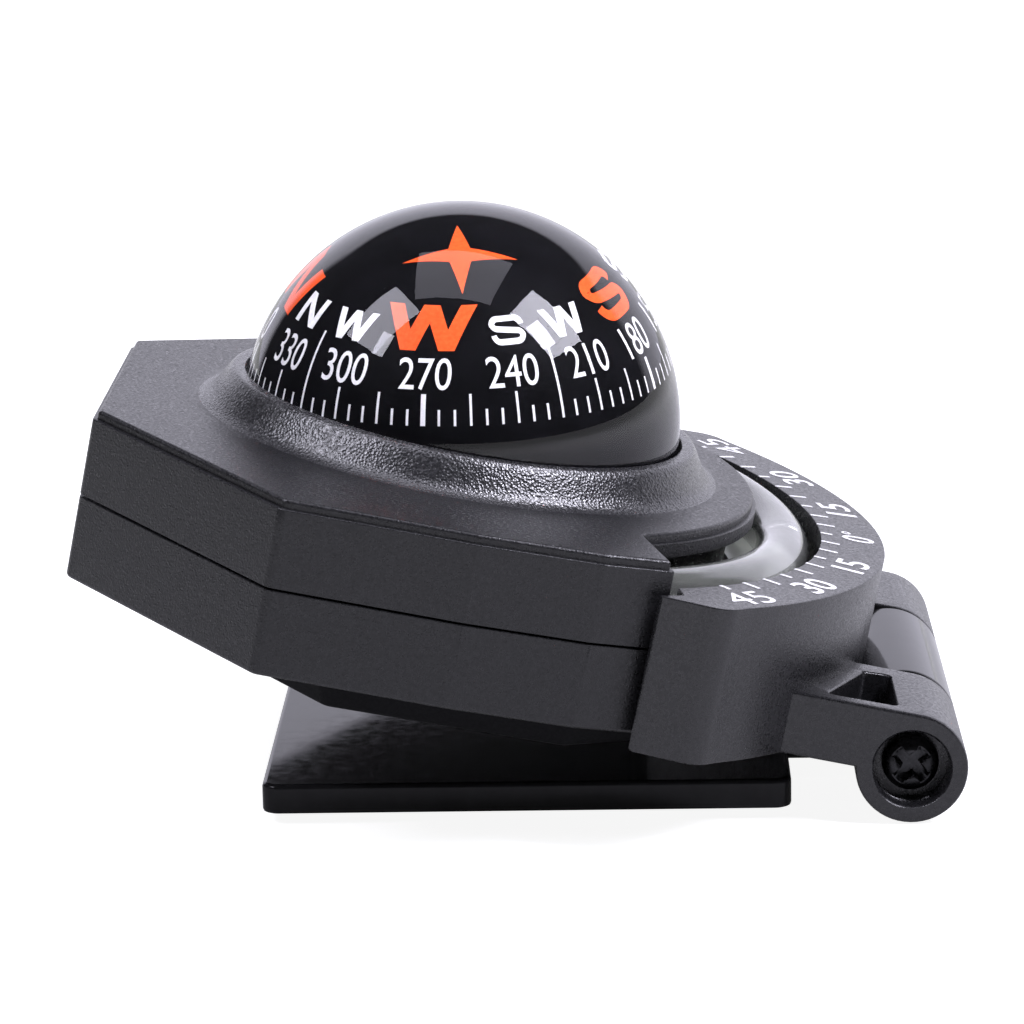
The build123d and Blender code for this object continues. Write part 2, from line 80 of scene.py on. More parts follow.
ink_rise, card_ink_sink, scale_ink_sink = 0.03, 0.012, 0.04

case_place = Matrix.Translation((dome_x, 0, dome_z)) @ Matrix.Rotation(radians(case_tilt), 4, "Y")
card_place = Matrix.Translation((dome_x, 0, dome_z))
home = Matrix.Identity(4)
hinge_case = case_place.inverted() @ Vector((hinge_x, 0, hinge_z))


# ------------------------------------------------------------------ meshes

def linked(name, data):
    """A new object in the scene."""
    item = bpy.data.objects.new(name, data)
    bpy.context.scene.collection.objects.link(item)
    return item


def solid(bm, name, place):
    """Object in metres from a mesh in millimetres."""
    bmesh.ops.remove_doubles(bm, verts=bm.verts, dist=1e-5)
    bmesh.ops.recalc_face_normals(bm, faces=bm.faces)
    bmesh.ops.transform(bm, matrix=Matrix.Scale(MM, 4) @ place, verts=bm.verts)
    mesh = bpy.data.meshes.new(name)
    bm.to_mesh(mesh)
    bm.free()
    return linked(name, mesh)


def smoothed(piece, angle):
    """Smooth shading, with edges sharper than an angle in degrees left sharp."""
    piece.data.shade_smooth()
    piece.data.set_sharp_from_angle(angle=radians(angle))


def evaluated_mesh(item):
    graph = bpy.context.evaluated_depsgraph_get()
    return bpy.data.meshes.new_from_object(item.evaluated_get(graph))


def finished(bm, name, place, body, smooth=40, weighted=True):
    """Turns a mesh in millimetres into a piece of the model."""
    piece = solid(bm, name, place)
    smoothed(piece, smooth)
    if weighted:
        modifier = piece.modifiers.new("normals", "WEIGHTED_NORMAL")
        modifier.keep_sharp = True
        modifier.weight = 90
    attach(piece, body)
    return piece


def ring(bm, points):
    return [bm.verts.new(p) for p in points]


def bridge(bm, low, high):
    """Faces between two closed rings with the same number of points."""
    count = len(low)
    for i in range(count):
        j = (i + 1) % count
        bm.faces.new((low[i], low[j], high[j], high[i]))


def skin(bm, rings):
    """Faces from ring to ring, open at both ends."""
    made = [ring(bm, points) for points in rings]
    for low, high in zip(made, made[1:]):
        bridge(bm, low, high)
    return made


def closed_skin(bm, rings, turn_first=True):
    """Faces from ring to ring and over both ends."""
    made = skin(bm, rings)
    bm.faces.new(list(reversed(made[0])) if turn_first else made[0])
    bm.faces.new(made[-1])


def close_to_point(bm, loop, point):
    """Closes a ring with triangles that meet in a point."""
    tip = bm.verts.new(point)
    for i, vert in enumerate(loop):
        bm.faces.new((vert, loop[(i + 1) % len(loop)], tip))


def ring_edges(bm, verts):
    pairs = zip(verts, verts[1:] + verts[:1])
    return [bm.edges.get(pair) or bm.edges.new(pair) for pair in pairs]


def fill_between(bm, outer, inner):
    """Flat face between two rings with different numbers of points."""
    edges = ring_edges(bm, outer) + ring_edges(bm, inner)
    bmesh.ops.triangle_fill(bm, use_beauty=True, use_dissolve=False, edges=edges)


def circle(radius, z, count, centre=(0, 0)):
    """Level ring of points."""
    points = []
    for i in range(count):
        angle = 2 * pi * i / count
        points.append((centre[0] + radius * cos(angle), centre[1] + radius * sin(angle), z))
    return points


def wheel(centre, radius, y, count):
    """Upright ring of points about an axis along Y."""
    x, z = centre
    points = []
    for i in range(count):
        angle = 2 * pi * i / count
        points.append((x + radius * cos(angle), y, z + radius * sin(angle)))
    return points


def sector(inner, outer, half_angle, step):
    """Plan of a band along the clinometer's arc, with angles in degrees."""
    points = []
    for radius, turn in ((outer, 1), (inner, -1)):
        for i in range(round(2 * half_angle / step) + 1):
            angle = radians(turn * (step * i - half_angle))
            points.append((arc_x + radius * cos(angle), radius * sin(angle)))
    return points


def shifted(a, b, inset):
    """A side moved to its left, as a point and a direction."""
    length = hypot(b[0] - a[0], b[1] - a[1])
    ux, uy = (b[0] - a[0]) / length, (b[1] - a[1]) / length
    return (a[0] - uy * inset, a[1] + ux * inset), (ux, uy)


def crossing(first, second):
    """Where two lines, each a point and a direction, meet."""
    (ax, ay), (ux, uy) = first
    (bx, by), (vx, vy) = second
    along = ((bx - ax) * vy - (by - ay) * vx) / (ux * vy - uy * vx)
    return (ax + along * ux, ay + along * uy)


def moved_in(plan, inset):
    """A plan with every side moved inwards. The inside is on the left."""
    count = len(plan)
    sides = [shifted(plan[i], plan[(i + 1) % count], inset) for i in range(count)]
    return [crossing(sides[i - 1], sides[i]) for i in range(count)]


def rounded(before, corner, after, radius, steps):
    """Points of an arc that rounds a corner."""
    to_a, to_b = Vector(before) - Vector(corner), Vector(after) - Vector(corner)
    to_a.normalize()
    to_b.normalize()
    half = to_a.angle(to_b) / 2
    reach = radius / tan(half)
    start, end = Vector(corner) + to_a * reach, Vector(corner) + to_b * reach
    middle = Vector(corner) + (to_a + to_b).normalized() * radius / sin(half)
    sweep = (start - middle).angle_signed(end - middle)
    points = []
    for i in range(steps + 1):
        turn = Matrix.Rotation(-sweep * i / steps, 2)
        points.append(tuple(middle + turn @ (start - middle)))
    return points


def polygon_plan(corners, inset, radius, steps=5):
    """A polygon moved inwards, with rounded corners."""
    moved = moved_in(corners, inset)
    reach = max(radius - inset, least_radius)
    points = []
    for i, corner in enumerate(moved):
        points += rounded(moved[i - 1], corner, moved[(i + 1) % len(moved)], reach, steps)
    return points


def nosed_plan(nose_r, inset, nose_inset=None):
    """The case's outline, mirrored and closed in front by an arc: points before, on and after it.

    The counts stay the same at any inset.
    """
    nose_inset = inset if nose_inset is None else nose_inset
    corners = [(outline_near[0][0], 0)] + outline_near + [notch]
    sides = [shifted(a, b, inset) for a, b in zip(corners, corners[1:])]
    near = [crossing(a, b) for a, b in zip(sides, sides[1:])]
    (px, py), (ux, uy) = sides[-1]
    px = px - arc_x
    reach = nose_r - nose_inset
    half = px * ux + py * uy
    along = -half - sqrt(half ** 2 - (px ** 2 + py ** 2 - reach ** 2))
    meet = (arc_x + px + along * ux, py + along * uy)
    path = [(near[0][0], 0)] + near + [meet]
    points = []
    for i, radius in enumerate(corner_radii):
        points += rounded(path[i], path[i + 1], path[i + 2], max(radius - inset, least_radius), 5)
    start = atan2(meet[1], meet[0] - arc_x)
    nose = []
    for i in range(arc_steps + 1):
        angle = start - 2 * start * i / arc_steps
        nose.append((arc_x + reach * cos(angle), reach * sin(angle)))
    far = [(x, -y) for x, y in reversed(points)]
    return points, nose, far


def at_height(plan, z):
    return [(x, y, z) for x, y in plan]


def lathe(bm, profile, x, z, count=96):
    """A profile of (radius, y) points turned about an axis along Y."""
    spokes = []
    for i in range(count):
        angle = 2 * pi * i / count
        spokes.append(ring(bm, [(r * cos(angle) + x, y, r * sin(angle) + z) for r, y in profile]))
    for i, here in enumerate(spokes):
        there = spokes[(i + 1) % count]
        for a in range(len(profile) - 1):
            bm.faces.new((here[a], there[a], there[a + 1], here[a + 1]))


def difference(piece, bm, place):
    """Cuts a shape, given in millimetres, out of a piece."""
    cutter = solid(bm, "cutter", place)
    modifier = piece.modifiers.new("cut", "BOOLEAN")
    modifier.operation = "DIFFERENCE"
    modifier.solver = "EXACT"
    modifier.object = cutter
    bpy.context.view_layer.update()
    result = evaluated_mesh(piece)
    piece.modifiers.remove(modifier)
    piece.data = result
    bpy.data.objects.remove(cutter)


def prism(bm, plan, z0, z1, bevel=0.0):
    """A closed upright prism, with its top and bottom edges bevelled if asked."""
    inner = moved_in(plan, bevel) if bevel else plan
    levels = [(inner, z0), (inner, z1)]
    if bevel:
        levels[1:1] = [(plan, z0 + bevel), (plan, z1 - bevel)]
    closed_skin(bm, [at_height(outline, z) for outline, z in levels])


# ------------------------------------------------------------------ materials

class Nodes:
    """Short ways to make a material's nodes."""

    def __init__(self, name, colour, roughness, metallic=0.0, specular=0.5):
        self.material = bpy.data.materials.new(name)
        self.material.use_nodes = True
        self.tree = self.material.node_tree
        self.shader = self.tree.nodes["Principled BSDF"]
        self.shader.inputs["Base Color"].default_value = (*colour, 1)
        self.shader.inputs["Roughness"].default_value = roughness
        self.shader.inputs["Metallic"].default_value = metallic
        self.shader.inputs["Specular IOR Level"].default_value = specular
        self.coordinates = self.tree.nodes.new("ShaderNodeTexCoord").outputs["Object"]
        self.height = None

    def link(self, a, b):
        self.tree.links.new(a, b)

    def noise(self, size, detail=3.0):
        """Noise with features about this many millimetres across."""
        node = self.tree.nodes.new("ShaderNodeTexNoise")
        node.inputs["Scale"].default_value = 1 / (size * MM)
        node.inputs["Detail"].default_value = detail
        self.link(self.coordinates, node.inputs["Vector"])
        return node.outputs["Fac"]

    def cells(self, size):
        """Round cells about this many millimetres across."""
        node = self.tree.nodes.new("ShaderNodeTexVoronoi")
        node.inputs["Scale"].default_value = 1 / (size * MM)
        self.link(self.coordinates, node.inputs["Vector"])
        return node.outputs["Distance"]

    def spread(self, value, low, high, from_low=0.3, from_high=0.7):
        """Maps a range of a value, by default most of a noise's, to low and high."""
        node = self.tree.nodes.new("ShaderNodeMapRange")
        node.inputs["From Min"].default_value = from_low
        node.inputs["From Max"].default_value = from_high
        node.inputs["To Min"].default_value = low
        node.inputs["To Max"].default_value = high
        self.link(value, node.inputs["Value"])
        return node.outputs["Result"]

    def colour(self, factor, first, second):
        """Base colour between two colours."""
        node = self.tree.nodes.new("ShaderNodeMix")
        node.data_type = "RGBA"
        node.inputs["A"].default_value = (*first, 1)
        node.inputs["B"].default_value = (*second, 1)
        self.link(factor, node.inputs["Factor"])
        self.link(node.outputs["Result"], self.shader.inputs["Base Color"])

    def roughness(self, value):
        self.link(value, self.shader.inputs["Roughness"])

    def bump(self, value, depth):
        """Bump of this many millimetres; calls stack."""
        node = self.tree.nodes.new("ShaderNodeBump")
        node.inputs["Strength"].default_value = 1.0
        node.inputs["Distance"].default_value = depth * MM
        self.link(value, node.inputs["Height"])
        if self.height is not None:
            self.link(self.height, node.inputs["Normal"])
        self.height = node.outputs["Normal"]
        self.link(self.height, self.shader.inputs["Normal"])

    def mixed_shader(self, factor, clear_colour):
        """Turns the material transparent where the factor is 1."""
        clear = self.tree.nodes.new("ShaderNodeBsdfTransparent")
        clear.inputs["Color"].default_value = (*clear_colour, 1)
        mix = self.tree.nodes.new("ShaderNodeMixShader")
        self.link(factor, mix.inputs["Fac"])
        self.link(self.shader.outputs["BSDF"], mix.inputs[1])
        self.link(clear.outputs["BSDF"], mix.inputs[2])
        output = next(n for n in self.tree.nodes if n.type == "OUTPUT_MATERIAL")
        self.link(mix.outputs["Shader"], output.inputs["Surface"])

    def coat(self, weight, roughness):
        self.shader.inputs["Coat Weight"].default_value = weight
        self.shader.inputs["Coat Roughness"].default_value = roughness


def grained_plastic(name, dark, light, rough, grain, depth, specular=0.5, pebble=0, pebble_depth=0):
    """Moulded plastic with a spark-eroded grain, and pebbles in it where it sparkles."""
    m = Nodes(name, dark, rough, specular=specular)
    m.colour(m.spread(m.noise(grain * 2.2), 0, 1), dark, light)
    m.roughness(m.spread(m.noise(grain * 1.5, 4), rough - 0.13, rough + 0.09))
    m.bump(m.noise(grain, 2), depth)
    if pebble:
        m.bump(m.cells(pebble), pebble_depth)
    m.bump(m.noise(9, 1), 0.02)
    return m.material


def gloss_plastic(name, dark, light, rough, specular=0.5):
    """Polished or plain plastic without a grain."""
    m = Nodes(name, dark, rough, specular=specular)
    m.colour(m.spread(m.noise(3), 0, 1), dark, light)
    m.roughness(m.spread(m.noise(1.2, 4), rough - 0.03, rough + 0.05))
    m.bump(m.noise(7, 1), 0.015)
    return m.material


def print_ink(name, dark, light):
    m = Nodes(name, light, 0.45, specular=0.1)
    m.colour(m.spread(m.noise(0.35, 4), 0, 1), dark, light)
    m.roughness(m.spread(m.noise(0.5), 0.38, 0.55))
    m.bump(m.noise(0.2), 0.004)
    return m.material


def brushed_metal(name, dark, light, rough):
    m = Nodes(name, light, rough, metallic=1.0)
    m.colour(m.spread(m.noise(1.5, 4), 0, 1), dark, light)
    m.roughness(m.spread(m.noise(0.3, 4), rough - 0.06, rough + 0.1))
    m.bump(m.noise(0.25), 0.004)
    return m.material


def clear_plastic(name, ior, shade):
    """Clear moulding that lets light through to what is inside it."""
    m = Nodes(name, (1, 1, 1), 0.0)
    m.shader.inputs["Transmission Weight"].default_value = 1.0
    m.shader.inputs["IOR"].default_value = ior
    m.roughness(m.spread(m.noise(4), 0.0, 0.01))
    shadow = m.tree.nodes.new("ShaderNodeLightPath").outputs["Is Shadow Ray"]
    m.mixed_shader(shadow, (shade, shade, shade))
    return m.material


def milky_plastic(name, dark, light):
    """Clear tube full of liquid, which looks milky from the side."""
    m = Nodes(name, light, 0.32)
    m.colour(m.spread(m.noise(3, 2), 0, 1), dark, light)
    m.shader.inputs["Transmission Weight"].default_value = 0.86
    m.shader.inputs["IOR"].default_value = 1.42
    m.roughness(m.spread(m.noise(2), 0.14, 0.20))
    m.coat(0.6, 0.04)
    m.bump(m.noise(5, 1), 0.02)
    return m.material


def rubber(name, dark, light, rough=0.7):
    m = Nodes(name, dark, rough, specular=0.3)
    m.colour(m.spread(m.noise(0.8, 4), 0, 1), dark, light)
    m.roughness(m.spread(m.noise(2), rough - 0.05, rough + 0.08))
    m.bump(m.cells(0.35), 0.03)
    return m.material


case_dark, case_light = (0.0075, 0.0075, 0.0083), (0.0135, 0.0135, 0.0148)
case_plastic = grained_plastic("case_plastic", case_dark, case_light, 0.35, 0.18, 0.046, 0.43)
collar_plastic = grained_plastic("collar_plastic", (0.013, 0.013, 0.014), (0.026, 0.026, 0.028),
                                 0.27, 0.16, 0.025, 0.9, pebble=0.25, pebble_depth=0.047)
# painted shade: the bottom cover gets a darker copy of the case's plastic with little sheen,
# standing in for the shade under the case
cover_plastic_painted_shade = grained_plastic("cover_plastic_painted_shade", (0.004, 0.004, 0.0045), (0.007, 0.007, 0.0075),
                                0.55, 0.14, 0.02, 0.06)
bracket_plastic = grained_plastic("bracket_plastic", case_dark, case_light, 0.32, 0.18, 0.023, 0.57)
base_plastic = gloss_plastic("base_gloss", (0.014, 0.014, 0.0147), (0.019, 0.019, 0.020),
                             0.09, 0.14)
bowl_plastic = gloss_plastic("bowl_plastic", (0.020, 0.020, 0.022), (0.030, 0.030, 0.032), 0.35)
card_plastic = gloss_plastic("card_black", (0.003, 0.003, 0.0035), (0.005, 0.005, 0.006),
                             0.45, 0.02)
pale_plastic = gloss_plastic("pale_plastic", (0.36, 0.37, 0.34), (0.46, 0.47, 0.44), 0.4)
white_ink = print_ink("white_ink", (0.72, 0.72, 0.72), (0.86, 0.86, 0.86))
orange_ink = print_ink("orange_ink", (0.80, 0.075, 0.012), (0.92, 0.11, 0.022))
screw_finish = brushed_metal("screw_black", (0.022, 0.022, 0.023), (0.050, 0.050, 0.052), 0.30)
steel = brushed_metal("steel", (0.42, 0.42, 0.43), (0.60, 0.60, 0.61), 0.28)
ball_steel = brushed_metal("ball_steel", (0.50, 0.50, 0.51), (0.68, 0.68, 0.69), 0.12)
brass = brushed_metal("brass", (0.50, 0.33, 0.12), (0.68, 0.47, 0.20), 0.3)
magnet_finish = brushed_metal("magnet", (0.07, 0.07, 0.07), (0.13, 0.13, 0.13), 0.5)
foam_finish = rubber("foam", (0.012, 0.012, 0.012), (0.030, 0.030, 0.030), 0.85)
seal_rubber = rubber("rubber", (0.010, 0.010, 0.010), (0.022, 0.022, 0.022))
dome_clear = clear_plastic("dome_clear", 1.40, 0.92)
tube_clear = milky_plastic("tube_clear", (0.43, 0.45, 0.41), (0.53, 0.545, 0.50))

slot_finish = {
    "foam": foam_finish, "base_gloss": base_plastic, "screw_black": screw_finish, "steel": steel,
    "bracket_plastic": bracket_plastic, "case_plastic": case_plastic, "clear_acrylic": dome_clear,
    "bowl_plastic": bowl_plastic, "rubber": seal_rubber, "brass": brass,
    "pale_plastic": pale_plastic, "ball_steel": ball_steel, "card_black": card_plastic,
    "magnet": magnet_finish,
}

for node in nodes.values():
    for index, material_slot in enumerate(node.material_slots):
        name = material_slot.material.name.split(".")[0] if material_slot.material else ""
        if name in slot_finish:
            node.data.materials[index] = slot_finish[name]


# ------------------------------------------------------------------ case

def bevelled_rise(inset, top, radius, steps=3):
    """Insets and heights of side and nose that round the top edge of a wall."""
    rise = []
    for i in range(steps + 1):
        angle = pi / 2 * i / steps
        step_in, height = inset + radius * (1 - cos(angle)), top - radius + radius * sin(angle)
        rise.append((step_in, step_in, height, height))
    return rise


def tube_sweep(bm, first, last, radius, steps):
    """Closed tube along the clinometer's arc between two angles."""
    around = 32
    rings = []
    for i in range(steps + 1):
        angle = radians(first + (last - first) * i / steps)
        points = []
        for k in range(around):
            turn = 2 * pi * k / around
            reach = tube_r + radius * cos(turn)
            points.append((arc_x + reach * cos(angle), reach * sin(angle),
                           tube_z + radius * sin(turn)))
        rings.append(points)
    closed_skin(bm, rings, turn_first=False)


def make_top_shell():
    bm = bmesh.new()
    low, edge = seam_top, seam_edge
    recess = tongue_r - tongue_recess_r
    levels = [                           # side inset, nose inset, side height, nose height
        (wall + 0.4, recess + wall, low, low),
        (edge, recess + edge, low, low),
        (edge * 0.3, recess + edge * 0.3, low + edge * 0.3, low + edge * 0.3),
        (0, recess, low + edge, low + edge),
        (0, recess, tongue_wall_z - 0.3, tongue_wall_z),
        (0, 0.12, tongue_wall_z - 0.2, tongue_wall_z),
        (0, 0, tongue_wall_z - 0.1, tongue_wall_z + 0.12),
    ]
    levels += bevelled_rise(0, ledge_z, 0.12)
    levels.append((ledge_in, ledge_in, ledge_z + 0.02, ledge_z + 0.02))
    levels += bevelled_rise(ledge_in, top_z, 0.34, 4)
    rings = []
    for side_inset, nose_inset, side_z, nose_z in levels:
        near, nose, far = nosed_plan(tongue_r, side_inset, nose_inset)
        rings.append(at_height(near, side_z) + at_height(nose, nose_z) + at_height(far, side_z))
    made = skin(bm, rings)
    collar = [
        (25.4, top_z), (24.6, top_z + 0.03), (24.0, top_z + 0.12), (23.5, top_z + 0.30),
        (23.1, top_z + 0.58), (22.75, top_z + 1.0), (22.4, top_z + 1.6), (22.05, top_z + 2.2),
        (21.7, top_z + 2.8),
        (21.4, collar_top_z - 0.12), (21.22, collar_top_z - 0.03), (21.0, collar_top_z),
        (20.4, collar_top_z), (20.27, collar_top_z - 0.03), (dome_hole_r, collar_top_z - 0.12),
        (dome_hole_r, top_z - wall),
    ]
    ramp = skin(bm, [circle(r, z, 160) for r, z in collar])
    fill_between(bm, made[-1], ramp[0])
    plan = sum(nosed_plan(tongue_r, wall + 0.4, recess + wall), [])
    ceiling = ring(bm, at_height(plan, top_z - wall))
    bridge(bm, made[0], ceiling)
    fill_between(bm, ceiling, ramp[-1])
    piece = finished(bm, "case_top", case_place, "case")
    for side in (-1, 1):
        tunnel = bmesh.new()
        tube_sweep(tunnel, side * 42, side * (tube_end + 1.5), tube_outer + 0.15, 24)
        difference(piece, tunnel, case_place)
    piece.data.materials.append(case_plastic)
    piece.data.materials.append(collar_plastic)
    inverse = (Matrix.Scale(MM, 4) @ case_place).inverted()
    for face in piece.data.polygons:
        centre = inverse @ face.center
        on_collar = dome_hole_r - 0.1 < hypot(centre.x, centre.y) < collar_grain_r
        if on_collar and top_z - 0.01 < centre.z and len(face.vertices) == 4:
            face.material_index = 1
    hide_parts("top_shell")


def make_lower_shell():
    bm = bmesh.new()
    edge = seam_edge
    levels = [(wall, seam_z), (edge, seam_z), (edge * 0.3, seam_z - edge * 0.3),
              (0, seam_z - edge), (0, base_z + 0.42), (0.06, base_z + 0.26),
              (0.18, base_z + 0.12), (0.36, base_z + 0.03), (0.5, base_z)]
    made = skin(bm, [at_height(sum(nosed_plan(tray_r, inset), []), z) for inset, z in levels])
    hole = skin(bm, [circle(bowl_hole_r, z, 96) for z in (base_z, base_z + wall)])
    fill_between(bm, made[-1], hole[0])
    floor_ring = ring(bm, at_height(sum(nosed_plan(tray_r, wall), []), base_z + wall))
    fill_between(bm, floor_ring, hole[1])
    bridge(bm, floor_ring, made[0])
    prism(bm, sector(deck_in, deck_out, deck_half_angle, 2), seam_z - 1.2, seam_z - 0.01)
    piece = finished(bm, "case_bottom", case_place, "case")
    piece.data.materials.append(case_plastic)
    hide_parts("lower_shell")


def make_bottom_cover():
    bm = bmesh.new()
    low = base_z - cover_depth
    corners = cover_near + [(x, -y) for x, y in reversed(cover_near)]
    levels = [(1.1, base_z - 0.05), (0.0, base_z - 0.05), (0.72, low + 0.32), (0.82, low + 0.16),
              (0.98, low + 0.05), (1.2, low)]
    rings = [at_height(polygon_plan(corners, inset, 2.0), z) for inset, z in levels]
    made = skin(bm, rings)
    bm.faces.new(made[-1])
    floor_ring = ring(bm, at_height(polygon_plan(corners, 2.1, 3.2), low + 1.2))
    bridge(bm, floor_ring, made[0])
    bm.faces.new(list(reversed(floor_ring)))
    piece = finished(bm, "case_bottom_cover", case_place, "case")
    for place in cover_screws:
        cutter = bmesh.new()
        closed_skin(cutter, [circle(2.1, z, 32, place) for z in (low - 1, low + 1.15)])
        difference(piece, cutter, case_place)
    piece.data.materials.append(cover_plastic_painted_shade)
    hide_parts("bottom_cover")


# ------------------------------------------------------------------ scale bracket

def crescent_plan():
    """Crescent whose ends taper to points along the case's sides."""
    def arc_points(radius, y):
        """Points of an arc from y to -y."""
        start = atan2(y, sqrt(radius ** 2 - y ** 2))
        points = []
        for i in range(arc_steps + 1):
            angle = start - 2 * start * i / arc_steps
            points.append((arc_x + radius * cos(angle), radius * sin(angle)))
        return points
    arc = arc_points(bracket_out, -33.9)
    tip = [(21.0, -32.0), (18.95, -33.45), (19.25, -33.75)]
    facet = rounded(tip[-1], (24.9, -34.5), arc[2], 2.6, 10)
    far = [(x, -y) for x, y in reversed(tip + facet)]
    return tip + facet + arc[2:-2] + far + arc_points(bracket_in, 29.9)


def arm_rings(side):
    """Rings of one arm and its hinge ear, from the outer end to the inner one."""
    top = hinge_case.z + ear_r
    edge = 0.3
    stations = [(edge, ear_half), (edge * 0.3, ear_half - edge * 0.3)]
    stations += [(0.0, ear_half - edge - (ear_half - ear_in - 2 * edge) * k / 8) for k in range(9)]
    stations += [(edge * 0.3, ear_in + edge * 0.3), (edge, ear_in)]
    rings = []
    for inset, y in stations:
        start = arc_x + sqrt(arm_start_r ** 2 - y ** 2)
        radius = ear_r - inset
        low = bracket_z + inset
        points = [(start, low)]
        first = pi + asin((hinge_case.z - low) / radius)
        for i in range(41):
            angle = first + (5 * pi / 2 - first) * i / 40
            points.append((hinge_case.x + radius * cos(angle), hinge_case.z + radius * sin(angle)))
        points += [(start + 2.5, top - inset), (start, top - inset)]
        rings.append([(x, side * y, z) for x, z in points])
    return rings


def make_scale_bracket():
    """Crescent, the flange below the tube and both arms with their ears."""
    crescent = bmesh.new()
    plan = crescent_plan()
    levels = [(0.24, bracket_z), (0.07, bracket_z + 0.07), (0, bracket_z + 0.24),
              (0, scale_z - 0.13), (0.04, scale_z - 0.04), (0.13, scale_z)]
    closed_skin(crescent, [at_height(moved_in(plan, inset), z) for inset, z in levels])
    piece = finished(crescent, "scale_crescent", case_place, "case")
    relief = bmesh.new()
    axis = (hinge_case.x, hinge_case.z)
    closed_skin(relief, [wheel(axis, relief_r, y, 96) for y in (-ear_in, ear_in)], turn_first=False)
    difference(piece, relief, case_place)
    smoothed(piece, 40)
    piece.data.materials.append(bracket_plastic)
    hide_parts("scale_bracket")

    flange = bmesh.new()
    plan = sector(flange_in, flange_out, flange_half_angle, 1.4)
    prism(flange, plan, bracket_z + 0.02, bracket_z + 0.93, 0.1)
    piece = finished(flange, "scale_flange", case_place, "case")
    piece.data.materials.append(bracket_plastic)

    for side, name in ((-1, "near"), (1, "far")):
        arm = bmesh.new()
        closed_skin(arm, arm_rings(side), turn_first=False)
        piece = finished(arm, f"hinge_ear_{name}", case_place, "case")
        cut_ear(piece, side)
        piece.data.materials.append(bracket_plastic)


def cut_ear(piece, side):
    """Counterbore or nut socket, screw hole and the pocket in the arm's top."""
    axis = (hinge_case.x, hinge_case.z)
    end = side * ear_half
    if side < 0:
        radius, depth, count = counterbore_r, counterbore_depth, 64
    else:
        radius, depth, count = nut_r, nut_depth, 6
    profile = [(radius + 0.25, end + side * 0.05), (radius, end - side * 0.2),
               (radius, end - side * depth)]
    for rings in ([wheel(axis, r, y, count) for r, y in profile],
                  [wheel(axis, screw_hole_r, side * y, 32) for y in (9, 30)]):
        cutter = bmesh.new()
        closed_skin(cutter, rings, turn_first=False)
        difference(piece, cutter, case_place)
    top = hinge_case.z + ear_r
    shallow = [(35.5, -23.9), (41.7, -23.7), (41.7, -13.9), (39.3, -14.3)]
    # the deep part keeps clear of the screw's head
    deep = [shallow[0], (40.5, -23.74), (40.5, -22.1), (41.7, -22.1), shallow[2], shallow[3]]
    shallow_levels = [(0.2, top - 1.8), (0.0, top - 1.6), (0.0, top - 0.2), (-0.22, top + 0.02),
                      (-0.3, top + 0.6)]
    deep_levels = [(0.25, top - 3.2), (0.03, top - 3.0), (0.03, top - 1.0)]
    for corners, levels in ((shallow, shallow_levels), (deep, deep_levels)):
        if side > 0:
            corners = [(x, -y) for x, y in reversed(corners)]
        pocket = bmesh.new()
        closed_skin(pocket, [at_height(polygon_plan(corners, inset, 0.5, 4), z)
                             for inset, z in levels])
        difference(piece, pocket, case_place)
    smoothed(piece, 35)


# ------------------------------------------------------------------ base

def make_base():
    """Plate, neck and the hinge's middle knuckle."""
    bm = bmesh.new()
    low, top = plate_low, plate_top
    corners = [(-plate_x, -plate_y), (plate_x, -plate_y), (plate_x, plate_y), (-plate_x, plate_y)]
    levels = [(0.25, low), (0.07, low + 0.07), (0, low + 0.25), (0, top - 0.42), (0.05, top - 0.24),
              (0.19, top - 0.08), (0.45, top)]
    closed_skin(bm, [at_height(polygon_plan(corners, inset, 1.5, 8), z) for inset, z in levels])
    neck = [(22.0, -neck_half), (hinge_x, -neck_half), (hinge_x, neck_half), (22.0, neck_half)]
    prism(bm, neck, low + 0.8, top - 0.02, 0.2)
    end = knuckle_half
    knuckle = [(knuckle_bore_r, -end), (4.55, -end), (4.8, -11.1), (ear_r, -10.85), (ear_r, 10.85),
               (4.8, 11.1), (4.55, end), (knuckle_bore_r, end), (knuckle_bore_r, -end)]
    lathe(bm, knuckle, hinge_x, hinge_z)
    piece = finished(bm, "base", home, "base")
    piece.data.materials.append(base_plastic)
    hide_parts("base_plate")


def make_hinge_screw():
    """Pan head with a cross recess that flares towards its mouth, and the shank."""
    head_r, head_height, shank_r, shank_end = 2.5, 1.9, 1.25, 25.3
    seat = counterbore_depth - ear_half
    crown = seat - head_height
    profile = [(0.8, crown + 0.03), (1.4, crown + 0.12), (1.9, crown + 0.30), (2.25, crown + 0.58),
               (2.44, crown + 0.92), (head_r, crown + 1.3), (head_r, seat - 0.1),
               (head_r - 0.1, seat), (shank_r, seat), (shank_r, shank_end - 0.3),
               (shank_r - 0.3, shank_end)]
    bm = bmesh.new()
    made = skin(bm, [wheel((hinge_x, hinge_z), r, y, 72) for r, y in profile])
    close_to_point(bm, made[0], (hinge_x, crown, hinge_z))
    close_to_point(bm, made[-1], (hinge_x, shank_end, hinge_z))
    piece = finished(bm, "pivot_screw", home, "case")
    recess = bmesh.new()
    rings = []
    for y, reach, half in ((crown - 0.5, 1.9, 0.55), (crown + 0.1, 1.75, 0.5),
                           (crown + 1.3, 1.25, 0.36)):
        points = []
        for k in range(4):
            turn = radians(45 + 90 * k)
            for along, aside in ((half * 1.5, -half), (reach, -half * 1.1), (reach + 0.12, 0),
                                 (reach, half * 1.1)):
                points.append((hinge_x + along * cos(turn) - aside * sin(turn), y,
                               hinge_z + along * sin(turn) + aside * cos(turn)))
        rings.append(points)
    closed_skin(recess, rings, turn_first=False)
    difference(piece, recess, home)
    smoothed(piece, 35)
    piece.data.materials.append(screw_finish)
    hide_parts("hinge_screw")


# ------------------------------------------------------------------ dome, card and tube

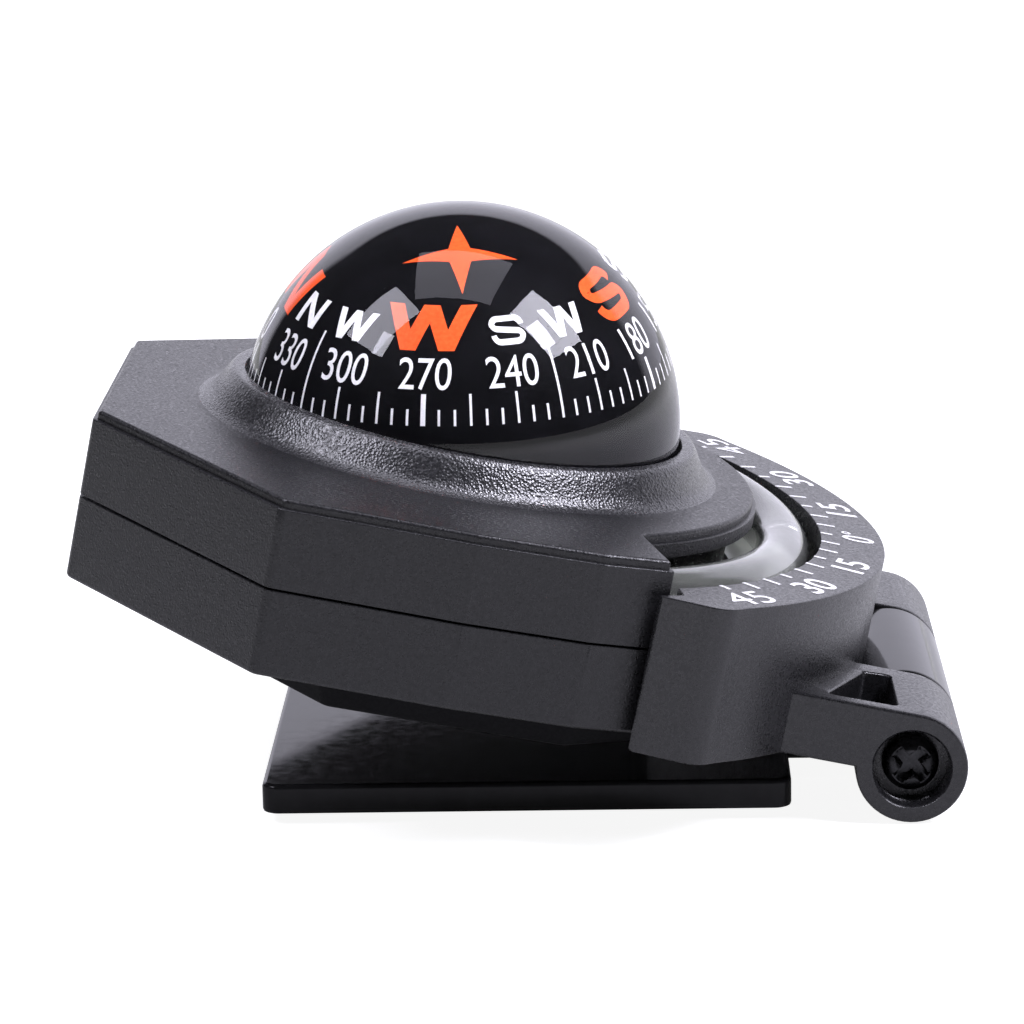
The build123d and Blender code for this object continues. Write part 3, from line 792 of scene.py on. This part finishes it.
def shell(inner_r, outer_r, low_z, rim_r, steps):
    """Hollow sphere cut off below. The outside ends at the angle where rim_r meets low_z."""
    bm = bmesh.new()
    low, inner_low = asin(low_z / rim_r), asin(low_z / inner_r)
    inner, outer = [], []
    for i in range(steps + 1):
        inner_angle = pi / 2 + (inner_low - pi / 2) * i / steps
        inner.append((inner_r * cos(inner_angle), inner_r * sin(inner_angle)))
        outer_angle = low + (pi / 2 - low) * i / steps
        outer.append((outer_r * cos(outer_angle), outer_r * sin(outer_angle)))
    rings = skin(bm, [circle(r, z, 160) for r, z in inner[1:] + outer[:-1]])
    close_to_point(bm, rings[0], (0, 0, inner_r))
    close_to_point(bm, rings[-1], (0, 0, outer_r))
    return bm


def make_dome():
    """Clear dome with the liquid in it, as one body that bends light round the card.

    It is hollow inwards from just under the card's surface, so the magnet and gimbal swing free.
    """
    bm = shell(card_r - hollow_depth, dome_seen_r, dome_flange_z, dome_r, 72)
    piece = finished(bm, "dome_and_liquid", case_place, "case", 60, weighted=False)
    piece.data.materials.append(dome_clear)
    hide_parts("dome")


def make_card():
    bm = shell(card_r - card_wall, card_r, card_low_z, card_r, 48)
    piece = finished(bm, "card", card_place, "card", 50, weighted=False)
    piece.data.materials.append(card_plastic)
    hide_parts("card_dome")


def make_tube():
    bm = bmesh.new()
    tube_sweep(bm, -tube_end, tube_end, tube_seen_r, 96)
    piece = finished(bm, "level_tube", case_place, "case", 60, weighted=False)
    piece.data.materials.append(tube_clear)
    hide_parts("clinometer_tube")


# ------------------------------------------------------------------ printing

def text_shapes(text, bold):
    """Flat mesh of a text in the built-in typeface, as a bmesh."""
    curve = bpy.data.curves.new("text", "FONT")
    curve.body = text
    curve.offset = bold
    curve.resolution_u = 5
    holder = linked("text", curve)
    bpy.context.view_layer.update()
    mesh = evaluated_mesh(holder)
    bpy.data.objects.remove(holder)
    bm = bmesh.new()
    bm.from_mesh(mesh)
    bmesh.ops.remove_doubles(bm, verts=bm.verts, dist=1e-5)
    return bm


def fitted(bm, width, height):
    """Scales a flat mesh to a width and height, centred on the origin."""
    xs = [v.co.x for v in bm.verts]
    ys = [v.co.y for v in bm.verts]
    middle_x, middle_y = (min(xs) + max(xs)) / 2, (min(ys) + max(ys)) / 2
    for vert in bm.verts:
        vert.co.x = (vert.co.x - middle_x) * width / (max(xs) - min(xs))
        vert.co.y = (vert.co.y - middle_y) * height / (max(ys) - min(ys))
    return bm


def flat_polygon(points):
    """Flat triangulated mesh of an outline."""
    bm = bmesh.new()
    bm.faces.new([bm.verts.new((x, y, 0)) for x, y in points])
    bmesh.ops.triangulate(bm, faces=bm.faces[:])
    return bm


def letter_shape(letter, stroke):
    """A wide letter in a square of side 1; the stroke's width is a share of the letter's."""
    a, t = stroke, 0.22                              # widths of upright and level strokes
    if letter == "W":
        lean, rise = 0.28 - a / 2, 0.22
        deep = (0.5 - a / 2 - a) / (lean + rise)
        left = [(0.28 + a / 2, 0), (0.28 - a / 2, 0), (0, 1), (a, 1), (a + lean * deep, 1 - deep),
                (0.5 - a / 2, 1)]
        right = [(1 - x, y) for x, y in reversed(left)]
        return flat_polygon(left + right + [(0.5, (0.22 - a / 2) / rise)])
    if letter == "N":
        return flat_polygon([(0, 0), (0, 1), (a * 1.15, 1), (1 - a, 0.3), (1 - a, 1), (1, 1),
                             (1, 0), (1 - a * 1.15, 0), (a, 0.7), (a, 0)])
    if letter == "E":
        return flat_polygon([(0, 0), (0, 1), (1, 1), (1, 1 - t), (a, 1 - t), (a, 0.5 + t / 2),
                             (0.93, 0.5 + t / 2), (0.93, 0.5 - t / 2), (a, 0.5 - t / 2),
                             (a, t), (1, t), (1, 0)])
    return wide_s(stroke)


def wide_s(stroke):
    """Letter S as one stroke with rounded turns, 1.3 wide and 1 high before it is fitted."""
    half = stroke * 0.5
    right, top = 1.3 - half, 1.0 - half
    bend, slant = 0.235, 0.07
    path = [(right, 0.68), (right, top), (half, top), (half, 0.5 + slant),
            (right, 0.5 - slant), (right, half), (half, half), (half, 0.32)]
    line = [path[0]]
    for before, corner, after in zip(path, path[1:], path[2:]):
        line += rounded(before, corner, after, bend if corner[1] in (top, half) else bend * 0.8, 7)
    line.append(path[-1])
    sides = []
    for i, point in enumerate(line):
        ahead = Vector(line[min(i + 1, len(line) - 1)]) - Vector(line[max(i - 1, 0)])
        aside = Vector((-ahead.y, ahead.x)).normalized() * half
        sides.append((Vector(point) + aside, Vector(point) - aside))
    bm = bmesh.new()
    for here, there in zip(sides, sides[1:]):
        quad = [here[0], there[0], there[1], here[1]]
        bm.faces.new([bm.verts.new((p.x, p.y, 0)) for p in quad])
    bmesh.ops.remove_doubles(bm, verts=bm.verts, dist=1e-5)
    return bm


def grid_cut(bm, step):
    """Cuts a flat mesh along a grid, so that it can bend."""
    for axis in (0, 1):
        values = [v.co[axis] for v in bm.verts]
        line = (min(values) // step + 1) * step
        while line < max(values):
            point, normal = [0, 0, 0], [0, 0, 0]
            point[axis], normal[axis] = line, 1
            geometry = bm.verts[:] + bm.edges[:] + bm.faces[:]
            bmesh.ops.bisect_plane(bm, geom=geometry, dist=1e-6, plane_co=point, plane_no=normal)
            line += step


def thickened(bm):
    """Gives a flat mesh a second layer: z is 0 below and 1 on top."""
    top = bmesh.ops.extrude_face_region(bm, geom=bm.faces[:])
    for item in top["geom"]:
        if isinstance(item, bmesh.types.BMVert):
            item.co.z = 1


def add_print(target, bm, place_point):
    """Puts a thickened flat mesh into the target through a function of its points."""
    copies = {vert: target.verts.new(place_point(vert.co)) for vert in bm.verts}
    for face in bm.faces:
        target.faces.new([copies[v] for v in face.verts])
    bm.free()


def printed(bm, step):
    """A flat mesh made ready to be wrapped: cut along a grid and thickened."""
    grid_cut(bm, step)
    thickened(bm)
    return bm


def on_card(heading, latitude):
    """Wraps a flat drawing, in degrees, on the card round a heading and a latitude."""
    centre = west_angle + 270 - heading

    def wrap(point):
        high = radians(latitude + point.y)
        turn = radians(centre + point.x / cos(high))
        radius = card_ink_radius(point)
        return (radius * cos(high) * cos(turn), radius * cos(high) * sin(turn), radius * sin(high))
    return wrap


def card_ink_radius(point):
    return card_r + (ink_rise if point.z > 0.5 else -card_ink_sink)


def print_on_card(target, bm, heading, latitude):
    add_print(target, printed(bm, 1.5), on_card(heading, latitude))


def bar(width, y0, y1):
    return flat_polygon([(-width / 2, y0), (width / 2, y0), (width / 2, y1), (-width / 2, y1)])


def make_card_print():
    white = bmesh.new()
    tick_low, short_top, long_top, line_top = 10.4, 15.3, 20.0, 35.5
    for heading in range(0, 360, 5):
        width = 1.5 if heading % 90 == 0 else 0.75
        top = long_top if heading % 15 == 0 else short_top
        if heading % 90 == 45:
            top = line_top
        print_on_card(white, bar(width, 0, top - tick_low), heading, tick_low)
    for heading in range(0, 360, 30):
        label = str(heading)
        width = {1: 4.9, 2: 10.5, 3: 16.2}[len(label)]
        print_on_card(white, fitted(text_shapes(label, 0.0), width, 9.9), heading, 26.2)
    letter_width = {"N": 12.0, "S": 10.8, "E": 9.5, "W": 15.0}
    for letters, heading, left, right in (("NE", 45, 15.3, 13.0), ("SE", 135, 9.0, 13.0),
                                          ("SW", 225, 14.0, 11.8), ("NW", 315, 15.3, 11.8)):
        for letter, place in zip(letters, (heading + left, heading - right)):
            shape = letter_shape(letter, 0.165 if letter == "W" else 0.2)
            print_on_card(white, fitted(shape, letter_width[letter], 9.8), place, 39.4)
    piece = finished(white, "card_print_white", card_place, "card", weighted=False)
    piece.data.materials.append(white_ink)

    orange = bmesh.new()
    for letter, heading, width, stroke in (("N", 0, 24, 0.27), ("E", 90, 19, 0.26),
                                           ("S", 179, 23, 0.23), ("W", 270, 27, 0.18)):
        print_on_card(orange, fitted(letter_shape(letter, stroke), width, 15.5), heading, 41.2)
    tips = []
    for k in range(8):
        reach = 17.0 if k % 2 == 0 else 4.5
        turn = radians(45 * k)
        tips.append((reach * cos(turn), reach * sin(turn)))
    star = printed(flat_polygon(tips), 1.5)
    lean = Matrix.Rotation(radians(20), 3, "Y")
    turned = Matrix.Rotation(radians(west_angle + 14), 3, "Z") @ lean

    def on_top(point):
        """Wraps the star, in degrees, round the top of the card."""
        away = radians(hypot(point.x, point.y))
        turn = atan2(point.y, point.x)
        radius = card_ink_radius(point)
        return turned @ Vector((radius * sin(away) * cos(turn), radius * sin(away) * sin(turn),
                                radius * cos(away)))
    add_print(orange, star, on_top)
    piece = finished(orange, "card_print_orange", card_place, "card", weighted=False)
    piece.data.materials.append(orange_ink)


def on_scale(angle, radius):
    """Wraps a flat drawing, in millimetres, on the crescent's top. Its top faces the dome."""
    def wrap(point):
        reach = radius - point.y
        turn = radians(angle) + point.x / radius
        z = scale_z + (ink_rise if point.z > 0.5 else -scale_ink_sink)
        return (arc_x + reach * cos(turn), reach * sin(turn), z)
    return wrap


def make_scale_print():
    """Ticks for every 5 degrees of the clinometer, and figures for every 15."""
    white = bmesh.new()
    zero, step = 1.0, 4.75
    for i in range(-9, 10):
        tick = bar(0.4, -1.1 if i % 3 == 0 else -1.7, 0)
        add_print(white, printed(tick, 0.5), on_scale(zero + i * step, bracket_in + 0.03))
    for i in range(-9, 10, 3):
        width = {0: 1.9, 3: 4.1, 6: 4.6, 9: 5.0}[abs(i)]
        shapes = fitted(text_shapes(str(abs(i) * 5), 0.0 if abs(i) == 9 else 0.012), width, 3.05)
        slip = 0.45 if i < 0 else 0
        add_print(white, printed(shapes, 0.5), on_scale(zero + i * step - slip, bracket_in + 3.55))
    degree = bmesh.new()
    made = [ring(degree, circle(r, 0, 24)) for r in (0.22, 0.45)]
    bridge(degree, made[0], made[1])
    thickened(degree)
    add_print(white, degree, on_scale(zero + 2.3, bracket_in + 2.55))
    piece = finished(white, "scale_print", case_place, "case", weighted=False)
    piece.data.materials.append(white_ink)


make_top_shell()
make_lower_shell()
make_bottom_cover()
make_scale_bracket()
make_base()
make_hinge_screw()
make_dome()
make_card()
make_tube()
make_card_print()
make_scale_print()


# ------------------------------------------------------------------ floor, light and camera

def make_floor():
    """Pale round floor, lit from within away from the middle; darker and less lit near the middle
    as painted shade under the object.
    """
    bm = bmesh.new()
    made = skin(bm, [circle(radius, 0, 64) for radius in (0.05, 0.2, 1.0, 5.0, 20.0)])
    bm.faces.new(made[0])
    bm.normal_update()
    bmesh.ops.reverse_faces(bm, faces=[face for face in bm.faces if face.normal.z < 0])
    mesh = bpy.data.meshes.new("floor")
    bm.to_mesh(mesh)
    bm.free()
    floor = linked("floor", mesh)
    m = Nodes("floor", (0.55, 0.55, 0.55), 0.9, specular=0.1)
    length = m.tree.nodes.new("ShaderNodeVectorMath")
    length.operation = "LENGTH"
    m.link(m.coordinates, length.inputs[0])
    away = length.outputs["Value"]
    # painted shade: the floor's colour is darker near the middle, under the object
    m.colour(m.spread(away, 0, 1, 0.06, 0.14), (0.48, 0.48, 0.48), (0.56, 0.56, 0.56))
    path = m.tree.nodes.new("ShaderNodeLightPath")
    strength = m.tree.nodes.new("ShaderNodeMix")
    m.link(path.outputs["Is Camera Ray"], strength.inputs["Factor"])
    # painted shade: for light bounced off the floor the glow is weaker near the middle, under the
    # object; camera rays see the floor nearly white
    m.link(m.spread(away, 0.12, 0.7, 0.12, 0.32), strength.inputs["A"])
    m.link(m.spread(away, 0.91, 1.0, 0.05, 0.30), strength.inputs["B"])
    m.link(strength.outputs["Result"], m.shader.inputs["Emission Strength"])
    m.shader.inputs["Emission Color"].default_value = (1, 1, 1, 1)
    m.mixed_shader(m.tree.nodes.new("ShaderNodeNewGeometry").outputs["Backfacing"], (1, 1, 1))
    mesh.materials.append(m.material)


def area_light(name, place, target, size, size_y, power):
    """Rectangular lamp, with its size in metres and power in watts, turned to a target."""
    light = bpy.data.lights.new(name, "AREA")
    light.shape = "RECTANGLE"
    light.size, light.size_y = size, size_y
    light.energy = power
    light.color = light_colour
    holder = linked(name, light)
    holder.location = place
    direction = Vector(target) - Vector(place)
    holder.rotation_euler = direction.to_track_quat("-Z", "Y").to_euler()


def make_world():
    """White backdrop low down behind the object, and a dim room elsewhere."""
    world = bpy.data.worlds.new("studio")
    bpy.context.scene.world = world
    world.use_nodes = True
    tree = world.node_tree
    background = tree.nodes["Background"]
    coordinates = tree.nodes.new("ShaderNodeTexCoord")
    split = tree.nodes.new("ShaderNodeSeparateXYZ")
    tree.links.new(coordinates.outputs["Generated"], split.inputs[0])

    def smooth(value, low, high, from_value, to_value):
        node = tree.nodes.new("ShaderNodeMapRange")
        node.interpolation_type = "SMOOTHSTEP"
        node.inputs["From Min"].default_value = low
        node.inputs["From Max"].default_value = high
        node.inputs["To Min"].default_value = from_value
        node.inputs["To Max"].default_value = to_value
        tree.links.new(value, node.inputs["Value"])
        return node.outputs["Result"]

    def combine(operation, first, second):
        node = tree.nodes.new("ShaderNodeMath")
        node.operation = operation
        tree.links.new(first, node.inputs[0])
        if isinstance(second, float):
            node.inputs[1].default_value = second
        else:
            tree.links.new(second, node.inputs[1])
        return node.outputs[0]

    facing = tree.nodes.new("ShaderNodeVectorMath")
    facing.operation = "DOT_PRODUCT"
    facing.inputs[1].default_value = (0.17, 0.985, 0)
    tree.links.new(coordinates.outputs["Generated"], facing.inputs[0])
    backdrop = combine("MULTIPLY", smooth(facing.outputs["Value"], 0.60, 0.70, 0, backdrop_light),
                       smooth(split.outputs["Z"], 0.49, 0.55, 1, 0))
    room = combine("ADD", backdrop, room_light)
    path = tree.nodes.new("ShaderNodeLightPath")
    strength = combine("MAXIMUM", path.outputs["Is Camera Ray"], room)
    tree.links.new(strength, background.inputs["Strength"])
    background.inputs["Color"].default_value = (0.985, 0.97, 1.12, 1)


def make_camera():
    """The photo's camera, as fitted to places measured in the photo."""
    azimuth, elevation, roll = radians(1.5525), radians(13.4391), radians(-1.138)
    distance = 0.4037
    focal_length = 154.74
    target = Vector((-1.382, 0, 22.40)) * MM
    back = Vector((sin(azimuth) * cos(elevation), -cos(azimuth) * cos(elevation), sin(elevation)))
    right = (-back).cross(Vector((0, 0, 1))).normalized()
    up = right.cross(-back)
    turned_right = right * cos(roll) + up * sin(roll)
    turned_up = up * cos(roll) - right * sin(roll)
    place = Matrix((turned_right, turned_up, back)).transposed().to_4x4()
    place.translation = target + back * distance
    data = bpy.data.cameras.new("camera")
    data.lens = focal_length
    data.sensor_width = 36
    data.clip_start, data.clip_end = 0.01, 60
    camera = linked("camera", data)
    camera.matrix_world = place
    bpy.context.scene.camera = camera


backdrop_light, room_light = 1.3, 0.02
light_colour = (0.985, 0.97, 1.12)
aim = (dome_x * MM, 0, dome_z * MM)
make_floor()
make_world()
area_light("left_softbox", (-0.34, -0.13, 0.52), aim, 0.24, 0.30, 1.9)
area_light("right_softbox", (0.38, -0.11, 0.48), aim, 0.24, 0.30, 3.6)
area_light("left_lamp", (-0.36, -0.26, 0.46), aim, 0.07, 0.12, 0.35)
area_light("right_lamp", (0.39, -0.19, 0.48), aim, 0.09, 0.14, 1.1)
area_light("overhead", (0.0, 0.04, 0.72), aim, 0.42, 0.40, 1.2)
make_camera()
bpy.context.scene.view_settings.view_transform = "Standard"
bpy.context.scene.view_settings.look = "None"
bpy.context.scene.view_settings.exposure = 0.0
